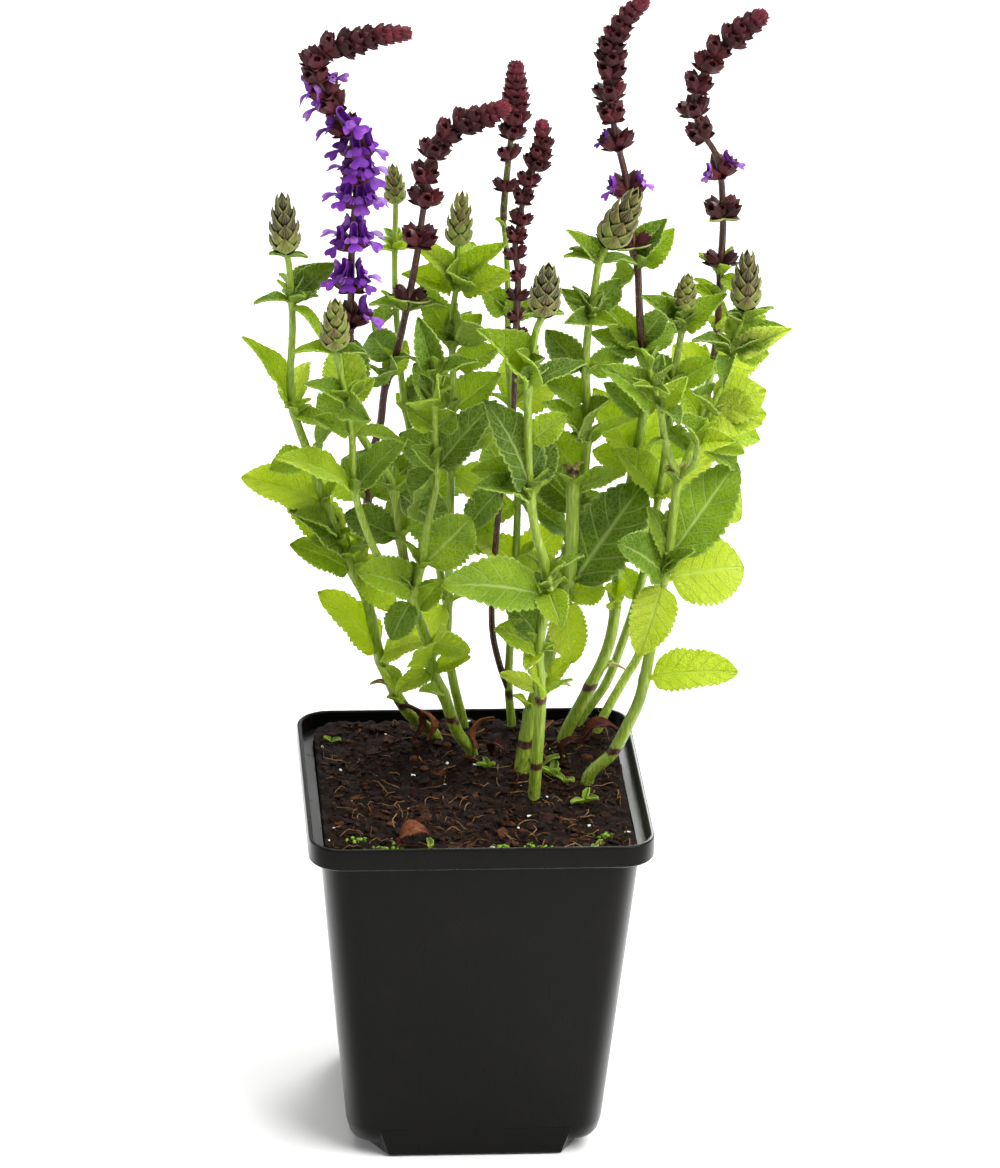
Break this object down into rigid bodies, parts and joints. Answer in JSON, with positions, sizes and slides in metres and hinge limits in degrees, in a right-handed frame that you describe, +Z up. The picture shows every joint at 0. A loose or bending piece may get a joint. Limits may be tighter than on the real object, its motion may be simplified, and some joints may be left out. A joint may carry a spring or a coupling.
{
  "type": "potted sage plant",
  "caption": "Flowering sage in a square black nursery pot: upright leafy stems, violet flower spikes, dark calyx spikes and green buds over compost.",
  "frame": {"origin": "middle of the flat underside of the pot, on the ground", "axes": "+Z up along the plant, -Y towards the side seen in the picture, +X to the right of that view; the pot's sides are parallel to X and Y"},
  "size_m": [0.1401, 0.1018, 0.3071],
  "materials": {
    "pot_plastic": "black injection-moulded plastic, satin",
    "compost": "moist peaty compost with bark and fibres, rough",
    "sage_leaf": "wrinkled green leaf and green stem, matt",
    "spike_calyx": "dark maroon calyces with a fine down",
    "bloom": "violet flowers in dark calyces",
    "bud_scale": "green to brown bud scales, matt"
  },
  "bodies": {
    "root": {"pot": "pot_plastic", "soil": "compost", "flower_spike_1": "bloom", "flower_spike_2": "spike_calyx", "flower_spike_3": "spike_calyx", "flower_spike_4": "spike_calyx", "flower_spike_5": "spike_calyx", "flower_spike_6": "spike_calyx", "flower_bud_1": "bud_scale", "flower_bud_2": "bud_scale", "flower_bud_3": "bud_scale", "flower_bud_4": "bud_scale", "flower_bud_5": "bud_scale", "flower_bud_6": "bud_scale", "flower_bud_7": "bud_scale", "flower_bud_8": "bud_scale", "leafy_stem_1": "sage_leaf", "leafy_stem_2": "sage_leaf", "leafy_stem_3": "sage_leaf", "leafy_stem_4": "sage_leaf", "leafy_stem_5": "sage_leaf", "leafy_stem_6": "sage_leaf", "leafy_stem_7": "sage_leaf", "leafy_stem_8": "sage_leaf", "leafy_stem_9": "sage_leaf", "leafy_stem_10": "sage_leaf"}
  },
  "joints": []
}
